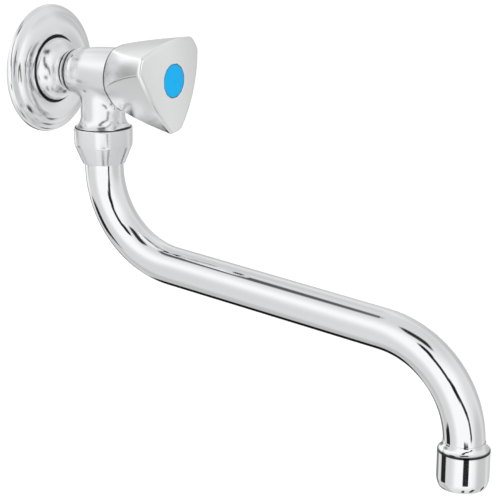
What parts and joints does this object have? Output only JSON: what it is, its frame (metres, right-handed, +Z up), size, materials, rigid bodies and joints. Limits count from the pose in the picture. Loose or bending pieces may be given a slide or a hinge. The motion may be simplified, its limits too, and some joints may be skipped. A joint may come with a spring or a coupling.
{
  "type": "wall tap",
  "caption": "Chromed cold-water wall tap with a three-sided handle, a blue index disc and a swivelling S-shaped tube spout hung under a union nut.",
  "frame": {"origin": "on the valve's axis, in the plane of the wall, where the inlet thread ends", "axes": "+Y into the wall along the inlet thread, +Z up, the spout at rest points along -Y"},
  "size_m": [0.06, 0.247, 0.1911],
  "materials": {
    "chromed_brass": "polished",
    "bare_brass": "turned",
    "black_rubber": "matte",
    "grey_foam": "foam",
    "stainless_steel": "brushed",
    "blue_plastic": "gloss",
    "white_plastic": "matte",
    "grey_plastic": "satin"
  },
  "bodies": {
    "tap_body": {"valve_body": "chromed_brass", "wall_rosette": "chromed_brass", "rosette_gasket": "grey_foam", "headwork_gasket": "black_rubber", "headwork_housing": "bare_brass", "union_nut": "chromed_brass", "slide_ring": "white_plastic"},
    "handle": {"handle_shell": "chromed_brass", "index_cap": "blue_plastic", "handle_screw": "stainless_steel", "spline_insert": "white_plastic", "spindle": "bare_brass", "spindle_seal_rings": "black_rubber", "spindle_clip": "stainless_steel"},
    "piston": {"valve_piston": "bare_brass", "seat_washer": "black_rubber", "washer_screw": "stainless_steel"},
    "spout": {"spout_tube": "chromed_brass", "spout_sleeve": "bare_brass", "spout_seal_rings": "black_rubber", "nozzle_socket": "chromed_brass", "aerator_housing": "chromed_brass", "aerator_washer": "black_rubber", "aerator_screen": "stainless_steel", "aerator_cartridge": "grey_plastic"}
  },
  "joints": [
    {"name": "handle_turn", "type": "hinge", "parent": "tap_body", "child": "handle", "pos_m": [0, -0.06, 0], "axis": [0, -1, 0], "range_deg": [0, 900]},
    {"name": "piston_slide", "type": "slide", "parent": "tap_body", "child": "piston", "axis": [0, -1, 0], "range_m": [0, 0.005]},
    {"name": "spout_swivel", "type": "hinge", "parent": "tap_body", "child": "spout", "pos_m": [0, -0.0319, -0.0438], "axis": [0, 0, 1], "range_deg": [-95, 95]}
  ],
  "couplings": [
    {"joint": "piston_slide", "follows": "handle_turn", "m_per_rad": 0.00031831}
  ]
}
